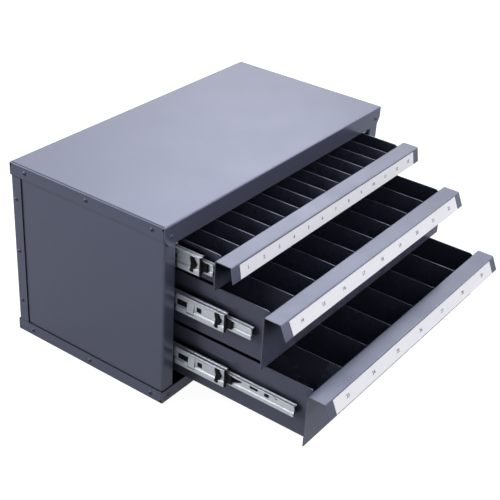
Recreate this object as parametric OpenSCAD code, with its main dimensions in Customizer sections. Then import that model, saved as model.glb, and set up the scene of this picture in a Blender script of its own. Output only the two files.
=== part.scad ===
// Drill bit dispenser cabinet: a folded sheet-steel case with three drawers,
// each divided into bins and carried on a pair of three-section ball slides.
// Millimetres, +Z up, the drawers open toward -Y, origin at the centre of the base.
// The drawers stand pulled out by different amounts.

/* [Cabinet] */
// Outside width across the cover and the pan
cab_w = 400; // [340:1:480]
// Outside depth from the front flange to the rear flange
cab_d = 211; // [195:1:260]
// Sheet thickness of the cabinet panels
cab_sheet = 1.2; // [0.8:0.1:1.8]
// Inside radius of the folded edges of the cover and the pan
bend_in = 0.8; // [0.4:0.1:1.5]
// Height of the side and rear flanges of the cover, and of all the pan's flanges
flange_h = 15; // [11:0.5:20]
// Height of the cover's front flange
front_flange_h = 22.5; // [19:0.5:30]
// Width of the cut-off lower corners of the cover's front flange
tab_cut_w = 5.5; // [2:0.5:8]
// Height of the cut-off lower corners of the cover's front flange
tab_cut_h = 8.5; // [3:0.5:12]
// Length of the back panel's flanges along the sides
back_flange = 15; // [11:0.5:22]
// Width of the front posts, folded inward from the sides
post_w = 17.8; // [14:0.2:24]
// Depth of the lips folded back from the posts, which carry the slides
lip_d = 28; // [22:1:36]
// Width of the face of the rear slide uprights
upright_face = 24; // [16:1:32]
// Open seam left where two flanges meet
seam = 0.4; // [0.2:0.1:0.8]
// Diameter of the relief holes at the folded corners
relief_d = 2.4; // [1.5:0.1:3]

/* [Drawers] */
// Heights of the drawer fronts, from the top down
drawer_h = [34, 61, 61]; // [30:1:80]
// Number of bins in each drawer, from the top down
bins = [13, 9, 7]; // [3:1:16]
// Gap between the cover's front flange and the top drawer
top_gap = 4; // [2:0.5:8]
// Gap between two drawers
drawer_gap = 3.7; // [2:0.1:8]
// Gap between the bottom drawer and the pan's front flange
base_gap = 6; // [3:0.5:12]
// Sheet thickness of the drawer boxes
box_sheet = 1; // [0.6:0.1:1.4]
// Sheet thickness of the drawer fronts
front_sheet = 1; // [0.6:0.1:1.6]
// Sheet thickness of the dividers
divider_sheet = 0.8; // [0.5:0.1:1.2]
// Side clearance between a drawer front and the posts
front_gap = 0.8; // [0.5:0.1:2]
// Width left for a slide on each side of a drawer box
slide_space = 12.5; // [11:0.5:16]
// Height of the box floor above the lower edge of the drawer front
floor_lift = 0.5; // [0:0.1:3]
// Drop of the box's front wall below its side walls
front_wall_drop = 6; // [4:0.5:9]
// Radius at the front upper corners of the side walls
side_corner_r = 4.5; // [2:0.5:6]
// Drop of the dividers below the top of the drawer front
divider_drop = 0.4; // [0:0.1:3]
// Clearance between a closed drawer box and the back panel
box_rear_gap = 6; // [4:0.5:12]

/* [Handles] */
// Depth of the handle's top, from the back of the drawer front to its front edge
handle_d = 20; // [17:0.5:28]
// Length of the slanted label face
face_len = 17.6; // [14:0.2:24]
// Lean of the label faces from upright, from the top drawer down
face_lean = [10, 24, 24]; // [0:1:30]
// Inner radius of the folds of a drawer front
front_bend = 0.6; // [0.3:0.1:2]
// Bare length left at each end of a label
label_margin = 12.2; // [4:0.2:30]
// Thickness of a label
label_t = 0.4; // [0.2:0.1:0.8]
// Thickness of the glue under a label
label_glue = 0.02; // [0.01:0.01:0.1]
// Bare height above and below a label
label_inset = 0.5; // [0.2:0.1:2]

/* [Slides] */
// Height of the outer member
slide_h = 27; // [26:0.5:30]
// Height of the middle member
mid_h = 21; // [20:0.1:21.5]
// Height of the inner member
inner_h = 13.2; // [12.6:0.1:13.6]
// Sheet thickness of the slide members
slide_sheet = 1; // [0.8:0.05:1.1]
// Depth of the outer member, from its back to its edge
outer_depth = 7.6; // [7.4:0.1:8]
// Gap between the webs of two nested members
web_gap = 0.5; // [0.4:0.05:0.7]
// Depth of the middle member, from its web to its edge
mid_depth = 6.7; // [6.5:0.1:7]
// Depth of the inner member, from its web to its edge
inner_depth = 5.6; // [5.5:0.1:6.2]
// Depth of the recess pressed into the middle member's web
mid_step = 1.2; // [0.8:0.1:1.4]
// Depth of the recess pressed into the inner member's web
inner_step = 0.8; // [0.5:0.1:1]
// Heights of the bands left below and above the middle member's recess
mid_bands = [6.9, 2.5]; // [2.2:0.1:8]
// Heights of the bands left below and above the inner member's recess
inner_bands = [5.1, 1.6]; // [1.6:0.1:5.2]
// Depth of the ball races rolled into the flanges
race_drop = 0.9; // [0.6:0.1:1]
// Width of the shoulders beside a race
shoulder_w = 0.9; // [0.6:0.1:1]
// Ball diameter between the outer and middle members
ball_a = 2.2; // [1.8:0.1:2.3]
// Ball diameter between the middle and inner members
ball_b = 3; // [2.6:0.1:3.2]
// Clearance round a ball in its race
race_gap = 0.35; // [0.3:0.05:0.5]
// Number of balls in one cage
cage_balls = 6; // [3:1:8]
// Spacing of the balls in a cage
ball_pitch = 10; // [6:0.5:11]
// Length of the black tongue ahead of the middle member
tongue_len = 8.5; // [6:0.5:11]
// Height of the black tongue
tongue_h = 9.8; // [7:0.2:10.4]
// Length of the bowed black cap on the middle member's front end
cap_len = 2.4; // [1.5:0.1:3]
// Length of the black latch along the middle member
latch_w = 8.4; // [6:0.2:10]
// Height of the black latch
latch_h = 17; // [12:0.5:17.2]
// Setbacks of the slides from the cabinet's front, from the top drawer down
slide_setback = [5.5, 16.5, 16.5]; // [4:0.5:18]
// Clearance between the slides and the back panel
slide_rear_gap = 4.6; // [3:0.2:10]
// Depth of the slides' axes below the tops of the drawers, from the top down
slide_drop = [15.4, 28.9, 29.5]; // [15:0.1:36]
// Diameter of the rivets that hold the outer members
slide_rivet_d = 4; // [3:0.2:5]
// Diameter of the spacers between the inner members and the drawer boxes
spacer_d = 6; // [4:0.5:8]

/* [Opened positions] */
// Distance that the middle members are drawn out, from the top drawer down
mid_out = [40.5, 84, 87.5]; // [0:0.1:90]
// Distance that the drawers are drawn out of their middle members, from the top down
drawer_out = [5.7, 22.3, 74.5]; // [0:0.1:95]

/* [Rivets] */
// Head diameter of the rivets that hold the cabinet together
rivet_d = 5; // [3.5:0.5:6]
// Height of the rivet heads
rivet_h = 1.1; // [0.6:0.1:1.6]
// Diameter of the mandrel hole in a rivet head
rivet_hole = 1.8; // [1:0.1:2.4]
// Distance of a row's first rivet from the cabinet's front
rivet_end = 16; // [12:1:40]
// Distance of a row's last rivet from the back panel's flange
rivet_rear_end = 7; // [5:0.5:30]

/* [Hidden] */

$fn = 48;
paint = [0.30, 0.31, 0.36];
zinc = [0.78, 0.79, 0.80];
black = [0.07, 0.07, 0.08];
paper = [0.93, 0.93, 0.94];
cut = 1;

// Heights of the whole cabinet and of the drawer fronts, stacked up from the pan
function stack_h(n) = n < 0 ? 0 : drawer_h[n] + stack_h(n - 1);
cab_h = flange_h + base_gap + stack_h(2) + 2 * drawer_gap + top_gap + front_flange_h;
function drawer_top(n) = cab_h - front_flange_h - top_gap - stack_h(n - 1) - n * drawer_gap;
function drawer_low(n) = drawer_top(n) - drawer_h[n];

// Planes of the case, seen from its centre
front_y = -cab_d / 2;
back_y = cab_d / 2;
bend_out = bend_in + cab_sheet;
side_out = cab_w / 2 - cab_sheet;
side_in = side_out - cab_sheet;
back_in = back_y - 2 * cab_sheet;
post_y = front_y + cab_sheet;
open_hw = side_out - post_w;

// Drawer planes with the drawer closed
front_hw = open_hw - front_gap;
box_hw = open_hw - slide_space;
box_front = front_y + front_sheet;
box_len = back_in - box_rear_gap - box_front;
function drawn(n) = mid_out[n] + drawer_out[n];

// Slide members: u runs from the outer member's back toward the drawer
deep_front = front_y + max(slide_setback);
slide_rear = back_in - slide_rear_gap;
slide_len = slide_rear - deep_front;
mid_len = slide_len - tongue_len;
mid_u = slide_sheet + web_gap;
mid_recess_u = mid_u + mid_step;
inner_u = mid_recess_u + slide_sheet + web_gap;
inner_recess_u = inner_u + inner_step;
race_a_u = mid_u + mid_depth / 2;
race_a_v = (mid_h / 2 - race_drop + slide_h / 2 - slide_sheet) / 2;
race_b_u = inner_u + inner_depth / 2;
race_b_v = (inner_h / 2 - race_drop + mid_h / 2 - slide_sheet) / 2;
cage_t = 0.5;
cage_len = (cage_balls + 0.6) * ball_pitch;
function slide_front(n) = front_y + slide_setback[n];
function slide_z(n) = drawer_top(n) - slide_drop[n];

// Lower and upper ends of the recesses in the webs, from the slide's axis
mid_recess = [mid_bands[0] - mid_h / 2, mid_h / 2 - mid_bands[1]];
inner_recess = [inner_bands[0] - inner_h / 2, inner_h / 2 - inner_bands[1]];

// Windows in the webs: distance behind the member's front end, length, height, drop below its upper edge
latch_at = 3.6;
square_window = [28.8, 6, 5.7, 6.6];
tab_window = [37.8, 9.2, 13.6, 4.3];
long_window = [46.5, 13.5, 6.6, 6.5];
lever_window = [62.5, 14, 3.8, 2.2];
slot_window = [44, 9, 3.2, 0.9];
notch_window = [30.5, 4.8, 4.4, 0.8];
pin_hole = [21.5, 2.2, 2.2];

// Fixing points of the slides along the cabinet
lip_rivet_y = (deep_front + post_y + lip_d) / 2;
upright_rivet_y = slide_rear - upright_face * 0.68;

// Unit vector from a to b
function toward(a, b) = (b - a) / norm(b - a);

// Length that a fold at point i takes from the straight runs beside it
function fold_share(points, i, mid_r) = i == 0 || i == len(points) - 1 ? 0
    : mid_r * tan(acos(toward(points[i - 1], points[i]) * toward(points[i], points[i + 1])) / 2);

// Sheet of thickness t folded along a line of points, with inner radius r at the folds
module folded_sheet(points, t, r) {
    last = len(points) - 1;
    mid_r = r + t / 2;
    share = [for (i = [0 : last]) fold_share(points, i, mid_r)];
    for (i = [0 : last - 1]) {
        along = toward(points[i], points[i + 1]);
        run = norm(points[i + 1] - points[i]) - share[i] - share[i + 1];
        translate(points[i] + share[i] * along) rotate(atan2(along[1], along[0]))
            translate([0, -t / 2]) square([run, t]);
    }
    for (i = [1 : last - 1]) {
        before = toward(points[i - 1], points[i]);
        after = toward(points[i], points[i + 1]);
        turn = sign(before[0] * after[1] - before[1] * after[0]);
        start = points[i] - share[i] * before;
        stop = points[i] + share[i] * after;
        centre = start + turn * mid_r * [-before[1], before[0]];
        lap = t / 8;
        translate(centre) intersection() {
            difference() {
                circle(mid_r + t / 2);
                circle(mid_r - t / 2);
            }
            polygon(3 * [[0, 0], start - lap * before - centre, points[i] - centre, stop + lap * after - centre]);
        }
    }
}

// Thin sheet folded sharply along a line of points, round only at its outside
module sheet_path(points, t) {
    for (i = [0 : len(points) - 2]) {
        run = points[i + 1] - points[i];
        translate(points[i]) rotate(atan2(run[1], run[0])) translate([0, -t / 2]) square([norm(run), t]);
    }
    for (i = [1 : len(points) - 2]) translate(points[i]) circle(d = t);
}

// Rectangle with its two upper corners rounded
module round_top(w, h, r) {
    translate([-w / 2, 0]) square([w, h - r]);
    translate([-w / 2 + r, 0]) square([w - 2 * r, h]);
    for (s = [-1, 1]) translate([s * (w / 2 - r), h - r]) circle(r);
}

// Block with rounded upper edges on all four sides
module bent_block(w, d, h, r) {
    intersection() {
        rotate([90, 0, 0]) linear_extrude(d, center = true) round_top(w, h, r);
        rotate([90, 0, 90]) linear_extrude(w, center = true) round_top(d, h, r);
    }
}

// Shallow tray of sheet, open below, with seams and relief holes cut beside its side flanges
module flanged_tray(h) {
    difference() {
        bent_block(cab_w, cab_d, h, bend_out);
        translate([0, 0, -cut])
            bent_block(cab_w - 2 * cab_sheet, cab_d - 2 * cab_sheet, h + cut - cab_sheet, bend_in);
        for (sx = [-1, 1], sy = [-1, 1]) {
            seam_y = cab_d / 2 - cab_sheet - seam / 2;
            translate([sx * cab_w / 2, sy * seam_y, (h - bend_out) / 2 - cut / 2])
                cube([4 * cab_sheet, seam, h - bend_out + cut], center = true);
            translate([sx * cab_w / 2, sy * (seam_y - relief_d / 4), h - bend_out - relief_d / 2])
                rotate([0, 90, 0]) cylinder(d = relief_d, h = 4 * cab_sheet, center = true);
        }
    }
}

module top_cover() {
    side_cut = front_flange_h - flange_h;
    color(paint) translate([0, 0, cab_h - front_flange_h]) difference() {
        flanged_tray(front_flange_h);
        translate([-cab_w / 2 - cut, front_y + cab_sheet, -cut])
            cube([cab_w + 2 * cut, cab_d + cut, side_cut + cut]);
        for (s = [-1, 1]) translate([s * cab_w / 2, front_y + cab_sheet + cut, 0]) rotate([90, 0, 0])
            linear_extrude(cab_sheet + 2 * cut)
                polygon([[s * cut, -cut], [-s * tab_cut_w, -cut], [-s * tab_cut_w, 0], [0, tab_cut_h],
                         [s * cut, tab_cut_h]]);
    }
}

module bottom_pan() {
    color(paint) translate([0, 0, flange_h]) mirror([0, 0, 1]) flanged_tray(flange_h);
}

module back_panel() {
    flange_x = cab_w / 2 - cab_sheet / 2;
    sheet_y = back_in + cab_sheet / 2;
    flange_end = back_y - back_flange;
    plate_hw = cab_w / 2 - bend_out;
    color(paint) {
        translate([-plate_hw, back_in, bend_out])
            cube([2 * plate_hw, cab_sheet, cab_h - 2 * bend_out]);
        translate([0, 0, flange_h + seam]) linear_extrude(cab_h - 2 * (flange_h + seam))
            folded_sheet([[-flange_x, flange_end], [-flange_x, sheet_y], [flange_x, sheet_y],
                          [flange_x, flange_end]], cab_sheet, bend_in);
    }
}

// Places its children at each of the three slide heights of one side
module at_slides(y, s) {
    for (n = [0 : 2]) translate([s * open_hw, y, slide_z(n)]) rotate([0, s * 90, 0]) children();
}

// Left side wall with its front post and the lip that the slides are riveted to
module side_panel() {
    side_x = -(side_out + side_in) / 2;
    lip_x = -(open_hw + cab_sheet / 2);
    fold_y = post_y + cab_sheet / 2;
    rear_y = back_in - bend_in - seam;
    difference() {
        translate([0, 0, bend_out]) linear_extrude(cab_h - 2 * bend_out)
            folded_sheet([[side_x, rear_y], [side_x, fold_y], [lip_x, fold_y], [lip_x, post_y + lip_d]],
                         cab_sheet, bend_in);
        at_slides(lip_rivet_y, -1) cylinder(d = slide_rivet_d, h = 4 * cab_sheet, center = true);
    }
}

module side_left() {
    color(paint) side_panel();
}

module side_right() {
    color(paint) mirror([1, 0, 0]) side_panel();
}

// Rear uprights: one folded strip on each side wall
module slide_uprights() {
    foot_x = -(side_in - cab_sheet / 2);
    face_x = -(open_hw + cab_sheet / 2);
    web_y = slide_rear - upright_face;
    foot_w = upright_face * 0.7;
    low = drawer_low(2);
    high = drawer_top(0);
    color(paint) for (m = [0, 1]) mirror([m, 0, 0]) difference() {
        translate([0, 0, low]) linear_extrude(high - low)
            folded_sheet([[foot_x, web_y - foot_w], [foot_x, web_y], [face_x, web_y], [face_x, slide_rear]],
                         cab_sheet, bend_in);
        at_slides(upright_rivet_y, -1) cylinder(d = slide_rivet_d, h = 4 * cab_sheet, center = true);
    }
}

// Hollow rivet head standing along +Z
module rivet_head() {
    ball_r = (pow(rivet_d / 2, 2) + rivet_h * rivet_h) / (2 * rivet_h);
    difference() {
        intersection() {
            translate([0, 0, rivet_h - ball_r]) sphere(ball_r);
            cylinder(d = rivet_d + cut, h = rivet_h + cut);
        }
        translate([0, 0, rivet_h * 0.3]) cylinder(d = rivet_hole, h = rivet_h + cut);
    }
}

module cabinet_rivets() {
    cover_z = cab_h - flange_h / 2;
    pan_z = flange_h / 2;
    row_front = front_y + rivet_end;
    row_rear = back_y - back_flange - rivet_rear_end;
    row_y = [row_front, (row_front + row_rear) / 2, row_rear];
    strip_z = [cab_h * 0.2, cab_h * 0.5, cab_h * 0.8];
    strip_y = back_y - back_flange / 2;
    post_x = cab_w / 2 - cab_sheet - post_w / 2;
    row_x = [-cab_w / 3, 0, cab_w / 3];
    color(paint) {
        for (s = [-1, 1]) {
            for (y = row_y, z = [cover_z, pan_z])
                translate([s * cab_w / 2, y, z]) rotate([0, s * 90, 0]) rivet_head();
            for (z = strip_z)
                translate([s * cab_w / 2, strip_y, z]) rotate([0, s * 90, 0]) rivet_head();
            for (z = [cab_h - front_flange_h * 0.6, pan_z])
                translate([s * post_x, front_y, z]) rotate([90, 0, 0]) rivet_head();
        }
        for (x = row_x, z = [cover_z, pan_z])
            translate([x, back_y, z]) rotate([-90, 0, 0]) rivet_head();
    }
}

// Rivets through the outer members, with their heads behind the lips and the uprights
module slide_rivets() {
    head_t = 1.2;
    color(zinc) for (s = [-1, 1], y = [lip_rivet_y, upright_rivet_y]) at_slides(y, s) {
        translate([0, 0, -slide_sheet]) cylinder(d = slide_rivet_d, h = slide_sheet + cab_sheet);
        translate([0, 0, cab_sheet]) cylinder(d = slide_rivet_d * 1.8, h = head_t);
    }
}

// Folded section with the ball races cleared out of it
module raced(points) {
    difference() {
        sheet_path(points, slide_sheet);
        for (s = [-1, 1]) {
            translate([race_a_u, s * race_a_v]) circle(d = ball_a + 2 * race_gap);
            translate([race_b_u, s * race_b_v]) circle(d = ball_b + 2 * race_gap);
        }
    }
}

// Fold points of half a section, from the web outward: flange with its race, then the turned edge down to lip_v
function flange_points(u, h, depth, lip_v) = let (
    web = u + slide_sheet / 2,
    edge = u + depth - slide_sheet / 2,
    high = h / 2 - slide_sheet / 2)
    [[web, high], [web + shoulder_w, high], [web + shoulder_w + race_drop, high - race_drop],
     [edge - shoulder_w - race_drop, high - race_drop], [edge - shoulder_w, high], [edge, high], [edge, lip_v]];

// Section of the middle or the inner member, whose web is pressed in by step over the recess
module rolled_section(u, h, depth, step, recess, lip_v) {
    half = flange_points(u, h, depth, lip_v);
    web = u + slide_sheet / 2;
    raced(concat([for (i = [len(half) - 1 : -1 : 0]) [half[i][0], -half[i][1]]],
                 [[web, recess[0] - step], [web + step, recess[0]], [web + step, recess[1]],
                  [web, recess[1] + step]], half));
}

module outer_section() {
    web = slide_sheet / 2;
    edge = outer_depth - slide_sheet / 2;
    high = slide_h / 2 - slide_sheet / 2;
    lip_v = mid_h / 2 + 2 * race_gap;
    raced([[edge, -lip_v], [edge, -high], [web, -high], [web, high], [edge, high], [edge, lip_v]]);
}

// Puts a pair of left-hand children on both sides of drawer n, moved forward by out
module slide_pair(n, out) {
    for (m = [0, 1]) mirror([m, 0, 0]) translate([-open_hw, slide_front(n) - out, slide_z(n)]) children();
}

// The same for what the middle member carries, measured from its front end
module middle_pair(n) {
    slide_pair(n, mid_out[n] - tongue_len) children();
}

// Extrudes a section rearward from a member's front end
module slide_bar(length) {
    translate([0, length, 0]) rotate([90, 0, 0]) linear_extrude(length) children();
}

// Extrudes an outline on a web, drawn as y and z, from u to u + t
module on_web(u, t) {
    translate([u, 0, 0]) rotate([90, 0, 90]) linear_extrude(t) children();
}

// Window through a web of a member of height h, whose recess is step deeper than u
module window(spec, u, step, h) {
    translate([u - cut / 4, spec[0], h / 2 - spec[3] - spec[2]])
        cube([step + slide_sheet + cut / 2, spec[1], spec[2]]);
}

module slide_outer(n) {
    color(zinc) slide_pair(n, 0) difference() {
        slide_bar(slide_len) outer_section();
        for (y = [lip_rivet_y, upright_rivet_y]) translate([0, y - slide_front(n), 0])
            rotate([0, 90, 0]) cylinder(d = slide_rivet_d, h = 4 * slide_sheet, center = true);
    }
}

// Outline of the black latch: a brace with its tip forward and a waisted back
module latch_outline() {
    translate([latch_at, 0]) scale_points([
        [0, 0.2], [0.32, 0.55], [0.47, 0.9], [0.69, 1], [0.96, 0.95], [0.96, 0.7], [0.8, 0.1], [0.87, -0.45],
        [1, -0.87], [0.88, -0.97], [0.5, -1], [0.42, -0.85], [0.46, -0.5], [0.28, -0.33], [0.05, -0.03]]);
}

// Polygon of shares of the latch's length and of half its height
module scale_points(shares) {
    polygon([for (p = shares) [p[0] * latch_w, p[1] * latch_h / 2]]);
}

// Tab lanced from its window and bent outward at its lower end
module bent_tab() {
    slit = 0.3;
    root = mid_h / 2 - tab_window[3];
    tip = root - tab_window[2] + 4 * slit;
    tip_u = mid_u - web_gap * 0.3;
    length = tab_window[1] - 2 * slit;
    translate([0, tab_window[0] + slit + length, 0]) rotate([90, 0, 0]) linear_extrude(length)
        polygon([[mid_recess_u, root + slide_sheet / 2], [mid_recess_u + slide_sheet, root + slide_sheet / 2],
                 [mid_recess_u + slide_sheet, root - slide_sheet], [tip_u + slide_sheet, tip], [tip_u, tip],
                 [mid_recess_u, root - slide_sheet]]);
}

module slide_middle(n) {
    lip_v = race_b_v + ball_b / 8;
    color(zinc) middle_pair(n) {
        difference() {
            slide_bar(mid_len) rolled_section(mid_u, mid_h, mid_depth, mid_step, mid_recess, lip_v);
            on_web(mid_u - cut / 4, mid_step + slide_sheet + cut / 2) latch_outline();
            for (spec = [square_window, tab_window, long_window]) window(spec, mid_u, mid_step, mid_h);
        }
        bent_tab();
    }
}

// Black latch let into the web, and the black cap with its tongue on the middle member's front end
module slide_latch(n) {
    proud = web_gap * 0.4;
    cap_h = mid_h - 1.5 * slide_sheet;
    cap_bow = cap_len * 0.45;
    cap_r = (cap_h * cap_h / 4 + cap_bow * cap_bow) / (2 * cap_bow);
    tongue_top = inner_h / 2 - slide_sheet * 0.4;
    color(black) middle_pair(n) {
        on_web(mid_u - proud, proud + mid_step + slide_sheet) latch_outline();
        on_web(mid_u, mid_step + slide_sheet) intersection() {
            translate([-cap_len, -cap_h / 2]) square([cap_len, cap_h]);
            translate([cap_r - cap_len, 0]) circle(cap_r);
        }
        on_web(mid_recess_u, slide_sheet) translate([-tongue_len, tongue_top - tongue_h])
            square([tongue_len, tongue_h]);
    }
}

// Places balls or holes along the cages: rear half for the outer race, front half for the inner
module along_races(n) {
    middle_pair(n) for (m = [0, 1]) mirror([0, 0, m]) {
        translate([race_a_u, mid_len - cage_len - ball_pitch, race_a_v]) children(0);
        translate([race_b_u, ball_pitch, race_b_v]) children(1);
    }
}

module ball_row(d) {
    for (i = [0 : cage_balls - 1]) translate([0, (i + 0.8) * ball_pitch, 0]) sphere(d = d);
}

// Retainer strip with a hole for each ball
module cage_strip(d) {
    strip_w = d + 2 * race_gap;
    difference() {
        translate([-strip_w / 2, 0, -cage_t / 2]) cube([strip_w, cage_len, cage_t]);
        for (i = [0 : cage_balls - 1]) translate([0, (i + 0.8) * ball_pitch, 0])
            cylinder(d = d + race_gap / 2, h = cage_t + cut, center = true);
    }
}

module slide_cages(n) {
    color(zinc) along_races(n) {
        cage_strip(ball_a);
        cage_strip(ball_b);
    }
}

module slide_balls(n) {
    color(zinc) along_races(n) {
        ball_row(ball_a);
        ball_row(ball_b);
    }
}

// Wedge-shaped lever window, drawn as y and z
function wedge() = let (
    tip = lever_window[0],
    rear = tip + lever_window[1],
    top = inner_h / 2 - lever_window[3])
    [[tip, top], [rear, top], [rear, top - lever_window[2]]];

module slide_inner(n) {
    color(zinc) slide_pair(n, drawn(n)) difference() {
        slide_bar(slide_len)
            rolled_section(inner_u, inner_h, inner_depth, inner_step, inner_recess, inner_h / 2 - slide_sheet);
        for (spec = [slot_window, notch_window]) window(spec, inner_u, inner_step, inner_h);
        on_web(inner_u - cut / 4, inner_step + slide_sheet + cut / 2) polygon(wedge());
        translate([inner_recess_u, pin_hole[0], inner_h / 2 - pin_hole[2]]) rotate([0, 90, 0])
            cylinder(d = pin_hole[1], h = 4 * slide_sheet, center = true);
    }
}

// Black release lever behind the inner member's web, seen through the wedge-shaped window
module slide_lever(n) {
    lever_t = 1.2;
    lap = 1;
    points = wedge();
    nose = points[0] - [lap, 0];
    heel = points[2] - [0, lap];
    root = heel[0] + lever_window[1];
    color(black) slide_pair(n, drawn(n)) on_web(inner_recess_u + slide_sheet, lever_t)
        polygon([nose - [0, lap], nose, [root, nose[1]], [root, heel[1]], heel]);
}

// Spacers between the inner members and the drawer box
module slide_spacers(n) {
    low_u = inner_recess_u + slide_sheet;
    spots = [pin_hole[0] + spacer_d, slide_len * 0.62, slide_len - 2 * spacer_d];
    color(zinc) slide_pair(n, drawn(n)) for (y = spots)
        translate([low_u, y, 0]) rotate([0, 90, 0])
            cylinder(d = min(spacer_d, inner_h - 2 * (slide_sheet + race_drop)), h = slide_space - low_u);
}

// Side wall outline, drawn as y and z, with its front upper corner rounded
module side_outline(h) {
    difference() {
        square([box_len, h]);
        difference() {
            translate([-cut, h - side_corner_r]) square([side_corner_r + cut, side_corner_r + cut]);
            translate([side_corner_r, h - side_corner_r]) circle(side_corner_r);
        }
    }
}

module drawer_box(n) {
    low = drawer_low(n) + floor_lift;
    h = drawer_top(n) - low;
    color(paint) translate([0, box_front - drawn(n), low]) {
        translate([-box_hw, 0, 0]) cube([2 * box_hw, box_len, box_sheet]);
        translate([-box_hw, 0, 0]) cube([2 * box_hw, box_sheet, h - front_wall_drop]);
        translate([-box_hw, box_len - box_sheet, 0]) cube([2 * box_hw, box_sheet, h]);
        for (x = [-box_hw, box_hw - box_sheet])
            translate([x, 0, 0]) rotate([90, 0, 90]) linear_extrude(box_sheet) side_outline(h);
    }
}

// Fold points of a drawer front, as y and z: lower edge, top rear, top front, label edge
function front_points(n) = let (
    sheet_y = box_front - front_sheet / 2 - drawn(n),
    top_z = drawer_top(n) - front_sheet / 2,
    nose = [box_front - drawn(n) - handle_d + front_sheet / 2, top_z])
    [[sheet_y, drawer_low(n)], [sheet_y, top_z], nose,
     nose + (face_len - front_sheet / 2) * [-sin(face_lean[n]), -cos(face_lean[n])]];

module drawer_front(n) {
    color(paint) rotate([90, 0, 90]) linear_extrude(2 * front_hw, center = true)
        folded_sheet(front_points(n), front_sheet, front_bend);
}

module label(n) {
    points = front_points(n);
    flat_len = face_len - front_sheet / 2 - fold_share(points, 2, front_bend + front_sheet / 2);
    color(paper) rotate([90, 0, 90]) linear_extrude(2 * (front_hw - label_margin), center = true)
        translate(points[3]) rotate(-face_lean[n]) translate([-front_sheet / 2 - label_glue - label_t, label_inset])
            square([label_t, flat_len - 2 * label_inset]);
}

// Upright dividers, hooked over the front wall of the box
module dividers(n) {
    inside_w = 2 * (box_hw - box_sheet);
    low = drawer_low(n) + floor_lift + box_sheet;
    high = drawer_top(n) - divider_drop;
    wall_top = drawer_top(n) - front_wall_drop;
    color(paint) translate([0, box_front - drawn(n), 0]) for (i = [1 : bins[n] - 1])
        translate([-inside_w / 2 + i * inside_w / bins[n] - divider_sheet / 2, 0, 0])
            rotate([90, 0, 90]) linear_extrude(divider_sheet)
                polygon([[box_sheet, low], [box_len - box_sheet, low], [box_len - box_sheet, high],
                         [0, high], [0, wall_top], [box_sheet, wall_top]]);
}

top_cover();
bottom_pan();
back_panel();
side_left();
side_right();
slide_uprights();
cabinet_rivets();
slide_rivets();
for (n = [0 : 2]) {
    slide_outer(n);
    slide_middle(n);
    slide_latch(n);
    slide_cages(n);
    slide_balls(n);
    slide_inner(n);
    slide_lever(n);
    slide_spacers(n);
    drawer_box(n);
    drawer_front(n);
    dividers(n);
    label(n);
}
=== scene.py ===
import math

import bmesh
import bpy
from mathutils import Matrix, Vector


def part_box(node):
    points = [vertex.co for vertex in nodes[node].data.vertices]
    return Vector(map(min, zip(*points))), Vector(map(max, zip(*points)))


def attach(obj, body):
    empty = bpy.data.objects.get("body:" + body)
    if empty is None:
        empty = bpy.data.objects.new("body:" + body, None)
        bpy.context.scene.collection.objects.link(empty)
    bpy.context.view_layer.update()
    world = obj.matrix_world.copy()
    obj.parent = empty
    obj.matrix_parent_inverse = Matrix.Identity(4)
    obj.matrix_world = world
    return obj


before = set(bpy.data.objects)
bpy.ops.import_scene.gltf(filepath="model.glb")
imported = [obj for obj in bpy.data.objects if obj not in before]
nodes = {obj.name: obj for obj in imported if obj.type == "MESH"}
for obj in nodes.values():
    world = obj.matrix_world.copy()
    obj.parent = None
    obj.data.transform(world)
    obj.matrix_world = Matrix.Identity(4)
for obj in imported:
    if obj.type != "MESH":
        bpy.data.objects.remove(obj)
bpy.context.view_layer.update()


# Cabinet sheets
# Cover, pan, back and side walls are folded from 1.2 mm steel sheet and riveted together.
# They are sprayed and baked in a dark grey gloss enamel, which lies in a fine orange peel.
case_sheets = ["top_cover", "bottom_pan", "back_panel", "side_left", "side_right"]
enamel_grey = (0.067, 0.0715, 0.103, 1)
enamel_edge = (0.115, 0.122, 0.168, 1)
# Near-black colour of the painted shade in seams and hollows.
enamel_shade_colour = (0.008, 0.009, 0.013, 1)
enamel_sheen = (0.68, 0.74, 1.0, 1)


def put(tree, kind, **inputs):
    """Adds a node and sets or links its inputs, named with underscores for spaces."""
    node = tree.nodes.new(kind)
    for name, value in inputs.items():
        socket = node.inputs[name.replace("_", " ")]
        if isinstance(value, bpy.types.NodeSocket):
            tree.links.new(value, socket)
        else:
            socket.default_value = value
    return node


def noise(tree, **settings):
    """A noise over a piece's own coordinates, its Scale in waves a metre."""
    where = tree.nodes.new("ShaderNodeTexCoord").outputs["Object"]
    return put(tree, "ShaderNodeTexNoise", Vector=where, **settings).outputs["Fac"]


def new_group(name, inputs, outputs):
    """An empty shader group with its sockets, its input node and its output node."""
    group = bpy.data.node_groups.new(name, "ShaderNodeTree")
    for label, kind in inputs:
        group.interface.new_socket(label, in_out="INPUT", socket_type=kind)
    for label, kind in outputs:
        group.interface.new_socket(label, in_out="OUTPUT", socket_type=kind)
    return group, group.nodes.new("NodeGroupInput"), group.nodes.new("NodeGroupOutput")


def spread(tree, value, low, high, to_low, to_high):
    """A value's range from low to high, laid over another range, whose ends may be sockets."""
    node = put(tree, "ShaderNodeMapRange", Value=value, From_Min=low, From_Max=high,
               To_Min=to_low, To_Max=to_high)
    return node.outputs["Result"]


def blend_colours(tree, share, first, second):
    """Two colours mixed by a share."""
    node = tree.nodes.new("ShaderNodeMix")
    node.data_type = "RGBA"
    for socket, value in ((node.inputs[0], share), (node.inputs[6], first), (node.inputs[7], second)):
        if isinstance(value, bpy.types.NodeSocket):
            tree.links.new(value, socket)
        else:
            socket.default_value = value
    return node.outputs[2]


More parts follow.
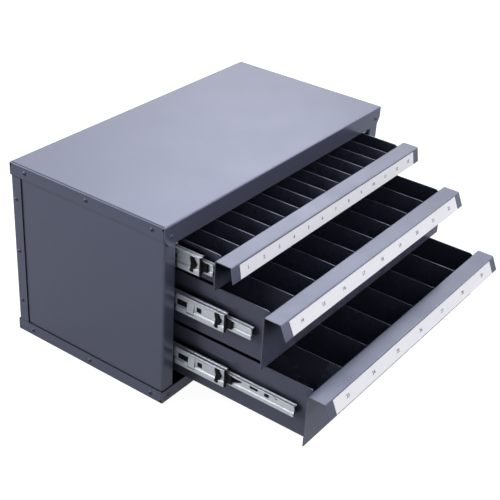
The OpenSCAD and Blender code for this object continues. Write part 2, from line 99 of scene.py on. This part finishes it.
def edges_and_seams(tree, radius, reach):
    """Rounded normals, a mask of the edges that they turn, and a mask of seams and hollows within reach."""
    rounded = put(tree, "ShaderNodeBevel", Radius=radius)
    rounded.samples = 4
    turned = tree.nodes.new("ShaderNodeVectorMath")
    turned.operation = "DOT_PRODUCT"
    tree.links.new(rounded.outputs["Normal"], turned.inputs[0])
    tree.links.new(tree.nodes.new("ShaderNodeNewGeometry").outputs["Normal"], turned.inputs[1])
    edge = spread(tree, turned.outputs["Value"], low=0.995, high=0.86, to_low=0.0, to_high=1.0)
    # Painted shade: the seam mask is ambient occlusion, which marks where shade falls.
    hollow = put(tree, "ShaderNodeAmbientOcclusion", Distance=reach)
    hollow.samples = 6
    seam = spread(tree, hollow.outputs["AO"], low=0.88, high=0.5, to_low=0.0, to_high=1.0)
    return rounded.outputs["Normal"], edge, seam


enamel_group, g_in, g_out = new_group(
    "baked_enamel",
    [("Base", "NodeSocketColor"), ("Edge", "NodeSocketColor"), ("Smooth", "NodeSocketFloat"),
     ("Dull", "NodeSocketFloat"), ("Reach", "NodeSocketFloat")],
    [("Tint", "NodeSocketColor"), ("Gloss", "NodeSocketFloat"), ("Seam", "NodeSocketFloat"),
     ("Peel", "NodeSocketFloat")])
tree = enamel_group
smudge = noise(tree, Scale=17.0, Detail=5.0, Roughness=0.62)
mottle = noise(tree, Scale=95.0, Detail=3.0, Roughness=0.5)
peel = noise(tree, Scale=600.0, Detail=1.5, Roughness=0.4)
_, edge, seam = edges_and_seams(tree, radius=0.0007, reach=g_in.outputs["Reach"])
mottle_share = spread(tree, mottle, low=0.35, high=0.65, to_low=0.0, to_high=0.12)
tinted = blend_colours(tree, mottle_share, g_in.outputs["Base"], g_in.outputs["Edge"])
# Painted highlight: along edges the colour is drawn toward the Edge colour, where that is paler than the
# base.
tinted = blend_colours(tree, edge, tinted, g_in.outputs["Edge"])
# Painted shade: seams and hollows are drawn to near-black and turned rough.
tinted = blend_colours(tree, seam, tinted, enamel_shade_colour)
gloss = spread(tree, smudge, low=0.34, high=0.68, to_low=g_in.outputs["Smooth"], to_high=g_in.outputs["Dull"])
gloss = spread(tree, seam, low=0.0, high=1.0, to_low=gloss, to_high=0.95)
for label, value in (("Tint", tinted), ("Gloss", gloss), ("Seam", seam), ("Peel", peel)):
    tree.links.new(value, g_out.inputs[label])


def new_material(name):
    """A material with its node tree and its shader."""
    material = bpy.data.materials.new(name)
    material.use_nodes = True
    return material, material.node_tree, material.node_tree.nodes["Principled BSDF"]


def raise_surface(tree, shader, height, distance, strength):
    """Feeds a height through a Bump node into a shader's normal."""
    bump = put(tree, "ShaderNodeBump", Height=height, Distance=distance, Strength=strength)
    tree.links.new(bump.outputs["Normal"], shader.inputs["Normal"])
    return bump


def enamel(name, base, edge, smooth, dull, reach, peel_depth, density=1.85, sheen=enamel_sheen):
    """Grey enamel over steel with its own colours, gloss, reach of its shaded seams, peel and shine."""
    material, tree, shader = new_material(name)
    coat = put(tree, "ShaderNodeGroup")
    coat.node_tree = enamel_group
    settings = {"Base": base, "Edge": edge, "Smooth": smooth, "Dull": dull, "Reach": reach}
    for label, value in settings.items():
        coat.inputs[label].default_value = value
    tree.links.new(coat.outputs["Tint"], shader.inputs["Base Color"])
    tree.links.new(coat.outputs["Gloss"], shader.inputs["Roughness"])
    # Painted shade: in the hollows a metallic share with a near-black tint reflects nothing.
    tree.links.new(coat.outputs["Seam"], shader.inputs["Metallic"])
    shader.inputs["IOR"].default_value = density
    shader.inputs["Specular Tint"].default_value = sheen
    raise_surface(tree, shader, coat.outputs["Peel"], distance=peel_depth, strength=0.35)
    return material


def finish_nodes(names, material):
    """Puts a material on CAD nodes."""
    for name in names:
        for slot in nodes[name].material_slots:
            slot.material = material


# The cabinet's enamel has a paler painted highlight along its bends and painted shade in seams and hollows
# within 3 mm.
case_enamel = enamel("case_enamel", base=enamel_grey, edge=(0.08, 0.085, 0.12, 1), smooth=0.19, dull=0.25,
                     reach=0.003, peel_depth=0.00004)
finish_nodes(case_sheets, case_enamel)


# Cabinet rivets
# Hollow blind rivets along the flanges, the rear strips and the front tabs.
# They were set before spraying, so the same enamel lies on their heads, duller. Their heads are painted much
# darker, painted shade for their dark hollow centres, with a paler painted highlight along their edges.
rivet_enamel = enamel("rivet_enamel", base=(0.022, 0.023, 0.033, 1), edge=(0.06, 0.064, 0.09, 1),
                      smooth=0.45, dull=0.55, reach=0.002, peel_depth=0.00002)
finish_nodes(["cabinet_rivets"], rivet_enamel)


# Slide carriers
# Folded strips at the rear of the side walls carry the slides' back ends and are sprayed with the cabinet.
# Plated steel rivets go through the slides into them and into the lips behind the front posts.
finish_nodes(["slide_uprights"], case_enamel)
zinc_pale = (0.84, 0.88, 0.91, 1)
zinc_grey = (0.68, 0.72, 0.75, 1)
# A painted edge highlight for the zinc.
zinc_edge = (0.78, 0.81, 0.84, 1)
# Near-black colour of the painted shade in the zinc's hollows.
zinc_shade_colour = (0.035, 0.036, 0.040, 1)
drawer_numbers = (1, 2, 3)

strip_group, g_in, g_out = new_group(
    "rolled_zinc",
    [("Pale", "NodeSocketColor"), ("Grey", "NodeSocketColor"), ("Edge", "NodeSocketColor"),
     ("Shade Colour", "NodeSocketColor")],
    [("Tint", "NodeSocketColor"), ("Gloss", "NodeSocketFloat"), ("Grain", "NodeSocketFloat"),
     ("Round", "NodeSocketVector")])
tree = strip_group
cloud = noise(tree, Scale=160.0, Detail=4.0, Roughness=0.6)
where = tree.nodes.new("ShaderNodeTexCoord").outputs["Object"]
along = put(tree, "ShaderNodeMapping", Vector=where, Scale=(1.0, 0.03, 1.0)).outputs["Vector"]
streak = put(tree, "ShaderNodeTexNoise", Vector=along, Scale=900.0, Detail=3.0, Roughness=0.55).outputs["Fac"]
both = tree.nodes.new("ShaderNodeMath")
both.operation = "MULTIPLY"
tree.links.new(streak, both.inputs[0])
tree.links.new(cloud, both.inputs[1])
worn = spread(tree, both.outputs[0], low=0.12, high=0.42, to_low=0.0, to_high=1.0)
rounded, edge, seam = edges_and_seams(tree, radius=0.0005, reach=0.003)
tinted = blend_colours(tree, worn, g_in.outputs["Pale"], g_in.outputs["Grey"])
# Painted highlight along the edges, and painted shade in hollows within 3 mm.
tinted = blend_colours(tree, edge, tinted, g_in.outputs["Edge"])
tinted = blend_colours(tree, seam, tinted, g_in.outputs["Shade Colour"])
gloss = spread(tree, cloud, low=0.35, high=0.65, to_low=0.52, to_high=0.60)
for label, value in (("Tint", tinted), ("Gloss", gloss), ("Grain", streak), ("Round", rounded)):
    tree.links.new(value, g_out.inputs[label])


def zinc_plate(name, pale, grey, grain_depth):
    """Bright zinc on rolled steel with its own colours and depth of grain, a painted edge highlight and
    painted shade in its hollows.
    """
    material, tree, shader = new_material(name)
    plate = put(tree, "ShaderNodeGroup")
    plate.node_tree = strip_group
    for label, value in (("Pale", pale), ("Grey", grey), ("Edge", zinc_edge), ("Shade Colour", zinc_shade_colour)):
        plate.inputs[label].default_value = value
    tree.links.new(plate.outputs["Tint"], shader.inputs["Base Color"])
    tree.links.new(plate.outputs["Gloss"], shader.inputs["Roughness"])
    shader.inputs["Metallic"].default_value = 1.0
    bump = raise_surface(tree, shader, plate.outputs["Grain"], distance=grain_depth, strength=0.3)
    tree.links.new(plate.outputs["Round"], bump.inputs["Normal"])
    return material


slide_zinc = zinc_plate("slide_zinc", zinc_pale, zinc_grey, grain_depth=0.00003)
finish_nodes(["slide_rivets"], slide_zinc)


# Slide members
# Three channels a side, rolled from steel strip, nest on balls: outer on the cabinet, middle, inner on the
# drawer. They are zinc plated, with fine marks of the rolls along their length.
for member in ("outer", "middle", "inner"):
    finish_nodes([f"slide_{member}_{n}" for n in drawer_numbers], slide_zinc)


# Ball cages and spacers
# Thin steel strips keep the balls apart, and turned steel spacers hold the inner members off the drawers.
# Both are plated like the slides, and greyer with grease and handling.
cage_zinc = zinc_plate("cage_zinc", (0.58, 0.60, 0.62, 1), (0.32, 0.33, 0.34, 1), grain_depth=0.00002)
for part in ("cages", "spacers"):
    finish_nodes([f"slide_{part}_{n}" for n in drawer_numbers], cage_zinc)


# Bearing balls
# Hardened and polished steel balls, free in their cages.
# A film of grease dulls them in patches.
ball_steel, tree, shader = new_material("ball_steel")
film = noise(tree, Scale=700.0, Detail=3.0)
film_share = spread(tree, film, low=0.4, high=0.65, to_low=0.0, to_high=1.0)
filmed = blend_colours(tree, film_share, (0.72, 0.72, 0.73, 1), (0.50, 0.48, 0.44, 1))
tree.links.new(filmed, shader.inputs["Base Color"])
tree.links.new(spread(tree, film, low=0.35, high=0.7, to_low=0.08, to_high=0.3), shader.inputs["Roughness"])
shader.inputs["Metallic"].default_value = 1.0
finish_nodes([f"slide_balls_{n}" for n in drawer_numbers], ball_steel)


# Latches, caps and release levers
# Small mouldings in black nylon, clipped into the middle and inner members.
# Their faces have the fine spark texture of the mould and shine a little where they rub.
nylon, tree, shader = new_material("black_nylon")
spark = noise(tree, Scale=2400.0, Detail=2.0)
rubbed = noise(tree, Scale=220.0, Detail=2.0)
rubbed_share = spread(tree, rubbed, low=0.4, high=0.7, to_low=0.0, to_high=1.0)
blackened = blend_colours(tree, rubbed_share, (0.004, 0.004, 0.005, 1), (0.009, 0.009, 0.011, 1))
tree.links.new(blackened, shader.inputs["Base Color"])
tree.links.new(spread(tree, rubbed, low=0.35, high=0.7, to_low=0.7, to_high=0.5), shader.inputs["Roughness"])
shader.inputs["IOR"].default_value = 1.25
raise_surface(tree, shader, spark, distance=0.00004, strength=0.5)
for part in ("latch", "lever"):
    finish_nodes([f"slide_{part}_{n}" for n in drawer_numbers], nylon)


# Dark plates in the windows, and lever blades
# Black nylon plates sit in the punched windows of the middle and inner members, with a little play all round:
# painted shade, standing in for the dark inside seen through the windows.
# The thin blades of the release levers, moulded in the same nylon, lie in the inner members' recesses.
# A window is given by its distance behind the front end, length, height and drop below the upper edge.
windows = {"middle": [(0.0288, 0.006, 0.0057, 0.0066), (0.0465, 0.0135, 0.0066, 0.0065)],
           "inner": [(0.044, 0.009, 0.0032, 0.0009), (0.0305, 0.0048, 0.0044, 0.0008)]}
carrier = {"middle": "middle", "inner": "drawer"}
shade_plate_depth = {"middle": 0.0015, "inner": 0.00015}
shade_plate_thickness = {"middle": 0.0006, "inner": 0.00115}
shade_plate_play = 0.00003
# Outline of a blade: distance behind the front end and drop.
blade = [(0.0634, 0.0025), (0.0642, 0.0038), (0.0715, 0.007), (0.0805, 0.007), (0.0805, 0.0025)]
blade_depth = 0.0005
blade_thickness = 0.0004


def new_piece(name, shape, material):
    """An object at the origin, made from a bmesh that is freed."""
    mesh = bpy.data.meshes.new(name)
    shape.to_mesh(mesh)
    shape.free()
    mesh.materials.append(material)
    piece = bpy.data.objects.new(name, mesh)
    bpy.context.scene.collection.objects.link(piece)
    return piece


# Painted shade: dark plates set just inside the windows; the inner members' pieces also hold the lever
# blades.
for member in windows:
    thickness = shade_plate_thickness[member]
    depth = shade_plate_depth[member] + thickness / 2
    for n in drawer_numbers:
        low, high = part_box(f"slide_{member}_{n}")
        shade_plates = bmesh.new()
        for face_x, inward in ((low.x, 1), (high.x, -1)):
            for behind, length, height, drop in windows[member]:
                middle = Vector((face_x + inward * depth, low.y + behind + length / 2,
                                 high.z - drop - height / 2))
                extent = Vector((thickness, length - 2 * shade_plate_play, height - 2 * shade_plate_play))
                place = Matrix.Translation(middle) @ Matrix.Diagonal(extent).to_4x4()
                bmesh.ops.create_cube(shade_plates, size=1.0, matrix=place)
            if member == "inner":
                blade_x = face_x + inward * blade_depth
                corners = [(blade_x, low.y + behind, high.z - drop) for behind, drop in blade]
                face = shade_plates.faces.new([shade_plates.verts.new(corner) for corner in corners])
                grown = bmesh.ops.extrude_face_region(shade_plates, geom=[face])
                moved = [piece for piece in grown["geom"] if isinstance(piece, bmesh.types.BMVert)]
                bmesh.ops.translate(shade_plates, vec=Vector((inward * blade_thickness, 0, 0)), verts=moved)
        bmesh.ops.recalc_face_normals(shade_plates, faces=shade_plates.faces)
        window_shade_plates = new_piece(f"{member}_inserts_{n}", shade_plates, nylon)
        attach(window_shade_plates, f"{carrier[member]}_{n}")


# Drawer boxes and dividers
# Boxes folded from 1 mm sheet, with thinner upright dividers hooked over the front wall.
# They have the cabinet's enamel, a little smoother on the wide drawer sides, with a paler painted highlight
# along the box edges. Painted shade darkens the boxes within 8 mm of the slides and their other hollows, and
# the dividers within 4 mm of theirs; the dividers' edges are drawn darker.
drawer_enamel = enamel("drawer_enamel", base=(0.073, 0.077, 0.106, 1), edge=enamel_edge,
                       smooth=0.10, dull=0.17, reach=0.008, peel_depth=0.00003, density=1.5)
finish_nodes([f"drawer_box_{n}" for n in drawer_numbers], drawer_enamel)
divider_enamel = enamel("divider_enamel", base=(0.10, 0.107, 0.152, 1), edge=(0.05, 0.053, 0.072, 1),
                        smooth=0.22, dull=0.32, reach=0.004, peel_depth=0.00003)
finish_nodes([f"dividers_{n}" for n in drawer_numbers], divider_enamel)


# Drawer fronts
# Each front is one sheet: panel, handle top and the slanted face for the label.
# The same enamel, with a paler painted highlight along the edges and painted shade behind the handles of the
# two upper drawers, reaching 50 mm; the lowest front's painted shade reaches only 6 mm.
front_sheen = (0.64, 0.70, 0.91, 1)
for name, shade_reach, drawers in (("front_enamel", 0.050, (1, 2)), ("low_front_enamel", 0.006, (3,))):
    front_enamel = enamel(name, base=enamel_grey, edge=enamel_edge, smooth=0.16, dull=0.28, reach=shade_reach,
                          peel_depth=0.00004, sheen=front_sheen)
    finish_nodes([f"drawer_front_{n}" for n in drawers], front_enamel)


# Labels
# White vinyl strips stuck on the slanted faces, faintly mottled and stained.
# They are printed with a plain number for each bin.
label_vinyl, tree, shader = new_material("label_vinyl")
fibre = noise(tree, Scale=1500.0, Detail=3.0)
stain = noise(tree, Scale=28.0, Detail=4.0)
stain_share = spread(tree, stain, low=0.4, high=0.7, to_low=0.0, to_high=0.5)
aged = blend_colours(tree, stain_share, (0.86, 0.85, 0.855, 1), (0.80, 0.795, 0.805, 1))
tree.links.new(aged, shader.inputs["Base Color"])
tree.links.new(spread(tree, stain, low=0.35, high=0.7, to_low=0.38, to_high=0.52), shader.inputs["Roughness"])
raise_surface(tree, shader, fibre, distance=0.00002, strength=0.3)
finish_nodes([f"label_{n}" for n in drawer_numbers], label_vinyl)

label_ink, tree, shader = new_material("label_ink")
blot = noise(tree, Scale=1800.0, Detail=2.0)
blot_share = spread(tree, blot, low=0.35, high=0.65, to_low=0.0, to_high=1.0)
inked = blend_colours(tree, blot_share, (0.012, 0.012, 0.018, 1), (0.035, 0.035, 0.045, 1))
tree.links.new(inked, shader.inputs["Base Color"])
tree.links.new(spread(tree, blot, low=0.35, high=0.65, to_low=0.45, to_high=0.6), shader.inputs["Roughness"])

bins = {1: 13, 2: 9, 3: 7}
face_lean = {1: math.radians(10), 2: math.radians(24), 3: math.radians(24)}
label_thickness = 0.0004
ink_thickness = 0.00006
digit_height = 0.0037
digit_share_of_size = 0.7
digit_boldness = 0.00010
weld_distance = 1e-7
first_number = 1
for n in drawer_numbers:
    low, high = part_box(f"label_{n}")
    box_low, box_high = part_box(f"drawer_box_{n}")
    pitch = (box_high.x - box_low.x) / bins[n]
    up_face = Vector((0, math.sin(face_lean[n]), math.cos(face_lean[n])))
    out_face = Vector((0, -math.cos(face_lean[n]), math.sin(face_lean[n])))
    upright_on_face = Matrix((Vector((1, 0, 0)), up_face, out_face)).transposed().to_4x4()
    face_middle = (low + high) / 2 + out_face * label_thickness / 2
    print_mesh = bmesh.new()
    for i in range(bins[n]):
        letters = bpy.data.curves.new(f"number_{first_number + i}", "FONT")
        letters.body = str(first_number + i)
        letters.align_x = "CENTER"
        letters.align_y = "CENTER"
        letters.size = digit_height / digit_share_of_size
        letters.extrude = ink_thickness / 2
        letters.offset = digit_boldness
        letters.resolution_u = 3
        outline = bpy.data.objects.new(letters.name, letters)
        bpy.context.scene.collection.objects.link(outline)
        bpy.context.view_layer.update()
        flat = bpy.data.meshes.new_from_object(outline.evaluated_get(bpy.context.evaluated_depsgraph_get()))
        spot = face_middle + out_face * ink_thickness / 2 + Vector(((i + 0.5 - bins[n] / 2) * pitch, 0, 0))
        flat.transform(Matrix.Translation(spot) @ upright_on_face)
        print_mesh.from_mesh(flat)
        bpy.data.objects.remove(outline)
        bpy.data.curves.remove(letters)
        bpy.data.meshes.remove(flat)
    bmesh.ops.remove_doubles(print_mesh, verts=print_mesh.verts, dist=weld_distance)
    bmesh.ops.recalc_face_normals(print_mesh, faces=print_mesh.faces)
    numbers = new_piece(f"numbers_{n}", print_mesh, label_ink)
    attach(numbers, f"drawer_{n}")
    first_number += bins[n]


# Studio table
# A white light table that runs far past the picture, lit from within, with a matt face.
# It isn't part of the cabinet.
table_half_width = 4.0
table_glow = 0.25
table_glow_in_view = 0.95
table_white, tree, shader = new_material("table_white")
weave = noise(tree, Scale=40.0, Detail=2.0)
tree.links.new(spread(tree, weave, low=0.3, high=0.7, to_low=0.78, to_high=0.82), shader.inputs["Roughness"])
shader.inputs["Base Color"].default_value = (0.25, 0.25, 0.25, 1)
shader.inputs["Emission Color"].default_value = (1.0, 1.0, 1.0, 1)
seen = tree.nodes.new("ShaderNodeLightPath").outputs["Is Camera Ray"]
glow = spread(tree, seen, low=0.0, high=1.0, to_low=table_glow, to_high=table_glow_in_view)
tree.links.new(glow, shader.inputs["Emission Strength"])
table_mesh = bmesh.new()
bmesh.ops.create_grid(table_mesh, x_segments=1, y_segments=1, size=table_half_width)
table = new_piece("studio_table", table_mesh, table_white)


# Studio light
# A dim room with soft boxes: a bank behind the cabinet to the right, a small one behind it to the left,
# a wide low one straight behind it, and a bank in front of it and to the right.
# Each is given by its azimuth from +X, its elevation, its angular radius in degrees and its radiance.
soft_boxes = [
    (22, 30, 14, 0.82),
    (46, 28, 14, 1.30),
    (30, 42, 16, 1.98),
    (33, 12, 10, 0.22),
    (60, 25, 16, 0.30),
    (142, 28, 10, 5.80),
    (346, 42, 11, 6.00),
    (110, 14, 22, 5.80),
    (300, 30, 16, 0.40),
    (280, 35, 24, 1.35),
    (275, 8, 20, 1.55),
    (340, 20, 16, 1.60),
    (316, 6, 11, 2.20),
]
soft_edge = 0.5
room_glow = 0.10
room_glow_in_view = 1.0
light_tint = (0.985, 0.99, 1.06, 1)
world = bpy.data.worlds.new("studio_room")
world.use_nodes = True
bpy.context.scene.world = world
tree = world.node_tree
direction = tree.nodes.new("ShaderNodeTexCoord").outputs["Generated"]
total = put(tree, "ShaderNodeValue").outputs[0]
total.default_value = room_glow
for azimuth, elevation, radius, radiance in soft_boxes:
    turn = math.radians(azimuth)
    lift = math.radians(elevation)
    aim = (math.cos(turn) * math.cos(lift), math.sin(turn) * math.cos(lift), math.sin(lift))
    toward = tree.nodes.new("ShaderNodeVectorMath")
    toward.operation = "DOT_PRODUCT"
    tree.links.new(direction, toward.inputs[0])
    toward.inputs[1].default_value = aim
    box = put(tree, "ShaderNodeMapRange", Value=toward.outputs["Value"], To_Max=radiance,
              From_Min=math.cos(math.radians(radius * (1 + soft_edge))),
              From_Max=math.cos(math.radians(radius * (1 - soft_edge))))
    box.interpolation_type = "SMOOTHSTEP"
    add = tree.nodes.new("ShaderNodeMath")
    tree.links.new(total, add.inputs[0])
    tree.links.new(box.outputs["Result"], add.inputs[1])
    total = add.outputs[0]
seen = tree.nodes.new("ShaderNodeLightPath").outputs["Is Camera Ray"]
shown = put(tree, "ShaderNodeMix", Factor=seen, A=total, B=room_glow_in_view)
tree.nodes["Background"].inputs["Color"].default_value = light_tint
tree.links.new(shown.outputs["Result"], tree.nodes["Background"].inputs["Strength"])


# Camera
# A long lens from the front left and above, at the photograph's angle, fitted to the cabinet's corners.
# Distances are in metres and angles in degrees.
azimuth, elevation, roll = math.radians(-55.38), math.radians(30.623), math.radians(3.658)
camera_distance = 1.24631
camera_aim = Vector((0, -0.065955, 0.082654))
picture_width = 500
focal_length_in_pixels = 1084.694
lens = bpy.data.cameras.new("camera")
lens.sensor_width = 36.0
lens.lens = lens.sensor_width * focal_length_in_pixels / picture_width
lens.clip_start = 0.05
lens.clip_end = 50.0
camera = bpy.data.objects.new("camera", lens)
away = Vector((math.sin(azimuth) * math.cos(elevation), -math.cos(azimuth) * math.cos(elevation),
               math.sin(elevation)))
level = (-away).cross(Vector((0, 0, 1))).normalized()
upright = level.cross(-away)
right = level * math.cos(roll) + upright * math.sin(roll)
up = upright * math.cos(roll) - level * math.sin(roll)
camera.matrix_world = (Matrix.Translation(camera_aim + away * camera_distance)
                       @ Matrix((right, up, away)).transposed().to_4x4())
bpy.context.scene.collection.objects.link(camera)
bpy.context.scene.camera = camera
bpy.context.scene.view_settings.view_transform = "Standard"
